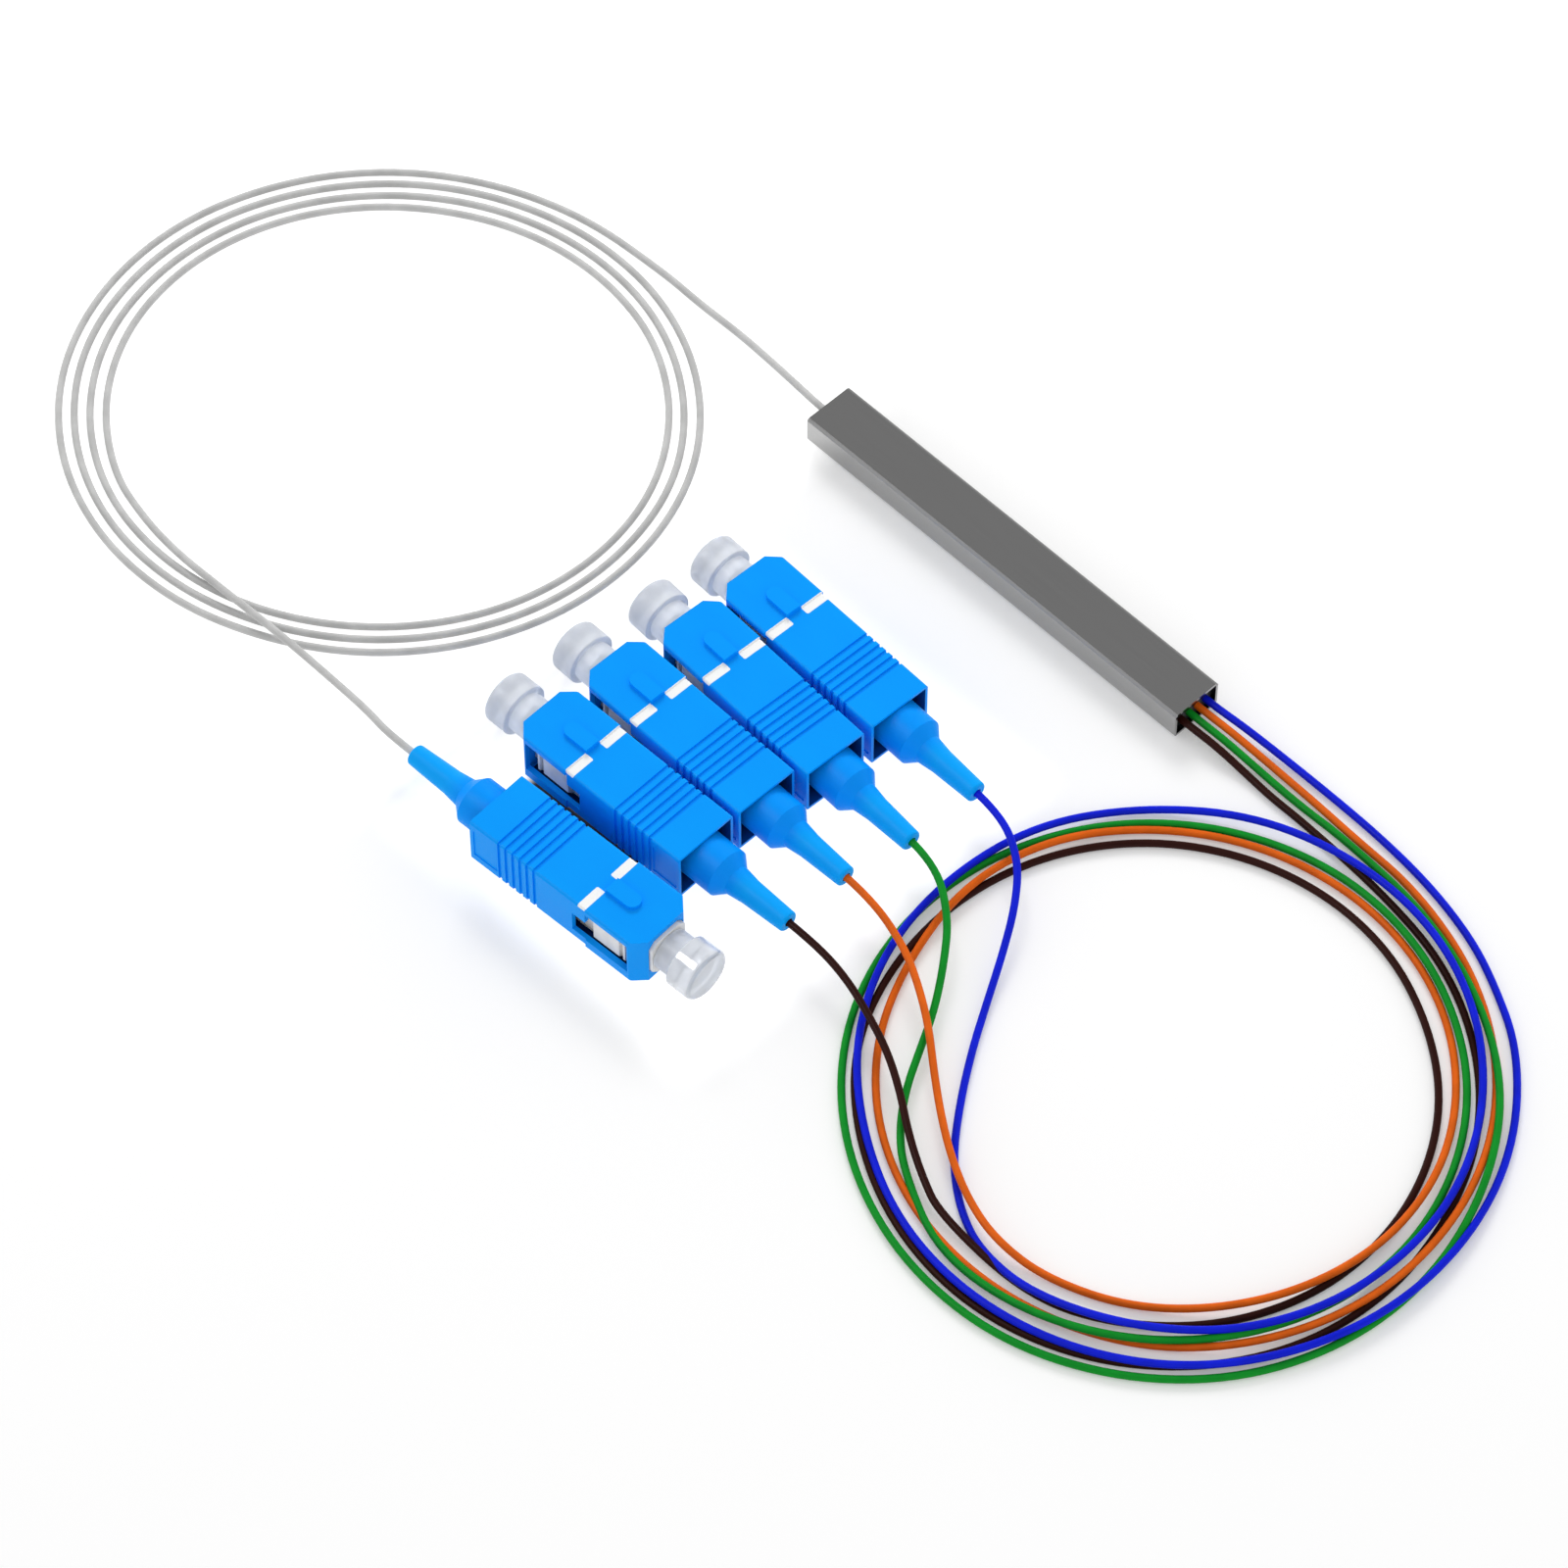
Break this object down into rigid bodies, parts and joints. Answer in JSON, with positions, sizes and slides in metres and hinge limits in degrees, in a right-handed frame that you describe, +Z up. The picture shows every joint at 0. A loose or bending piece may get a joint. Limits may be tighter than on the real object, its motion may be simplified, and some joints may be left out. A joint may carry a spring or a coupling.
{
  "type": "plc fibre splitter",
  "caption": "Planar lightwave splitter in a small flat steel tube, one white fibre in and coloured fibres out, coiled flat, each with a square blue push-pull plug and a dust cap.",
  "frame": {"origin": "middle of the steel tube's underside, on the table", "axes": "+X along the steel tube towards the end with the coloured fibres, +Y across the tube away from the plugs, +Z up from the table"},
  "size_m": [0.2077, 0.0795, 0.0078],
  "materials": {
    "steel": "drawn, satin",
    "resin": "cured dark resin",
    "glass": "polished",
    "blue_plastic": "moulded, satin",
    "white_plastic": "moulded",
    "ceramic": "polished",
    "nickel": "plated",
    "spring_steel": "drawn wire",
    "blue_rubber": "soft satin",
    "cap_plastic": "milky, translucent",
    "white_fibre": "buffered fibre",
    "blue_fibre": "buffered fibre",
    "orange_fibre": "buffered fibre",
    "green_fibre": "buffered fibre",
    "brown_fibre": "buffered fibre"
  },
  "bodies": {
    "splitter": {"steel_tube": "steel", "input_seal": "resin", "output_seal": "resin", "plc_chip": "glass", "input_fibre_block": "glass", "output_fibre_block": "glass", "input_frame": "white_plastic", "input_spring": "spring_steel", "input_stop": "nickel", "input_boot": "blue_rubber", "input_lead": "white_fibre", "input_tail": "white_fibre", "brown_frame": "white_plastic", "brown_spring": "spring_steel", "brown_stop": "nickel", "brown_boot": "blue_rubber", "brown_lead": "brown_fibre", "brown_tail": "brown_fibre", "orange_frame": "white_plastic", "orange_spring": "spring_steel", "orange_stop": "nickel", "orange_boot": "blue_rubber", "orange_lead": "orange_fibre", "orange_tail": "orange_fibre", "green_frame": "white_plastic", "green_spring": "spring_steel", "green_stop": "nickel", "green_boot": "blue_rubber", "green_lead": "green_fibre", "green_tail": "green_fibre", "blue_frame": "white_plastic", "blue_spring": "spring_steel", "blue_stop": "nickel", "blue_boot": "blue_rubber", "blue_lead": "blue_fibre", "blue_tail": "blue_fibre", "input_coil": "white_fibre", "output_coil": "orange_fibre"},
    "input_grip_body": {"input_grip": "blue_plastic"},
    "input_cap_body": {"input_cap": "cap_plastic"},
    "input_ferrule_body": {"input_ferrule": "ceramic", "input_flange": "nickel"},
    "brown_grip_body": {"brown_grip": "blue_plastic"},
    "brown_cap_body": {"brown_cap": "cap_plastic"},
    "brown_ferrule_body": {"brown_ferrule": "ceramic", "brown_flange": "nickel"},
    "orange_grip_body": {"orange_grip": "blue_plastic"},
    "orange_cap_body": {"orange_cap": "cap_plastic"},
    "orange_ferrule_body": {"orange_ferrule": "ceramic", "orange_flange": "nickel"},
    "green_grip_body": {"green_grip": "blue_plastic"},
    "green_cap_body": {"green_cap": "cap_plastic"},
    "green_ferrule_body": {"green_ferrule": "ceramic", "green_flange": "nickel"},
    "blue_grip_body": {"blue_grip": "blue_plastic"},
    "blue_cap_body": {"blue_cap": "cap_plastic"},
    "blue_ferrule_body": {"blue_ferrule": "ceramic", "blue_flange": "nickel"}
  },
  "joints": [
    {"name": "input_grip_slide", "type": "slide", "parent": "splitter", "child": "input_grip_body", "axis": [-0.9981, -0.061, 0], "range_m": [0, 0.0012]},
    {"name": "input_cap_pull", "type": "slide", "parent": "splitter", "child": "input_cap_body", "axis": [0.9981, 0.061, 0], "range_m": [0, 0.0044]},
    {"name": "input_ferrule_press", "type": "slide", "parent": "splitter", "child": "input_ferrule_body", "axis": [-0.9981, -0.061, 0], "range_m": [0, 0.0008], "stiffness_N_per_m": 1500, "deforming": ["input_spring"]},
    {"name": "brown_grip_slide", "type": "slide", "parent": "splitter", "child": "brown_grip_body", "axis": [0.9995, 0.0314, 0], "range_m": [0, 0.0012]},
    {"name": "brown_cap_pull", "type": "slide", "parent": "splitter", "child": "brown_cap_body", "axis": [-0.9995, -0.0314, 0], "range_m": [0, 0.0044]},
    {"name": "brown_ferrule_press", "type": "slide", "parent": "splitter", "child": "brown_ferrule_body", "axis": [0.9995, 0.0314, 0], "range_m": [0, 0.0008], "stiffness_N_per_m": 1500, "deforming": ["brown_spring"]},
    {"name": "orange_grip_slide", "type": "slide", "parent": "splitter", "child": "orange_grip_body", "axis": [1, -0.0052, 0], "range_m": [0, 0.0012]},
    {"name": "orange_cap_pull", "type": "slide", "parent": "splitter", "child": "orange_cap_body", "axis": [-1, 0.0052, 0], "range_m": [0, 0.0044]},
    {"name": "orange_ferrule_press", "type": "slide", "parent": "splitter", "child": "orange_ferrule_body", "axis": [1, -0.0052, 0], "range_m": [0, 0.0008], "stiffness_N_per_m": 1500, "deforming": ["orange_spring"]},
    {"name": "green_grip_slide", "type": "slide", "parent": "splitter", "child": "green_grip_body", "axis": [0.999, -0.0454, 0], "range_m": [0, 0.0012]},
    {"name": "green_cap_pull", "type": "slide", "parent": "splitter", "child": "green_cap_body", "axis": [-0.999, 0.0454, 0], "range_m": [0, 0.0044]},
    {"name": "green_ferrule_press", "type": "slide", "parent": "splitter", "child": "green_ferrule_body", "axis": [0.999, -0.0454, 0], "range_m": [0, 0.0008], "stiffness_N_per_m": 1500, "deforming": ["green_spring"]},
    {"name": "blue_grip_slide", "type": "slide", "parent": "splitter", "child": "blue_grip_body", "axis": [0.9995, -0.0332, 0], "range_m": [0, 0.0012]},
    {"name": "blue_cap_pull", "type": "slide", "parent": "splitter", "child": "blue_cap_body", "axis": [-0.9995, 0.0332, 0], "range_m": [0, 0.0044]},
    {"name": "blue_ferrule_press", "type": "slide", "parent": "splitter", "child": "blue_ferrule_body", "axis": [0.9995, -0.0332, 0], "range_m": [0, 0.0008], "stiffness_N_per_m": 1500, "deforming": ["blue_spring"]}
  ]
}
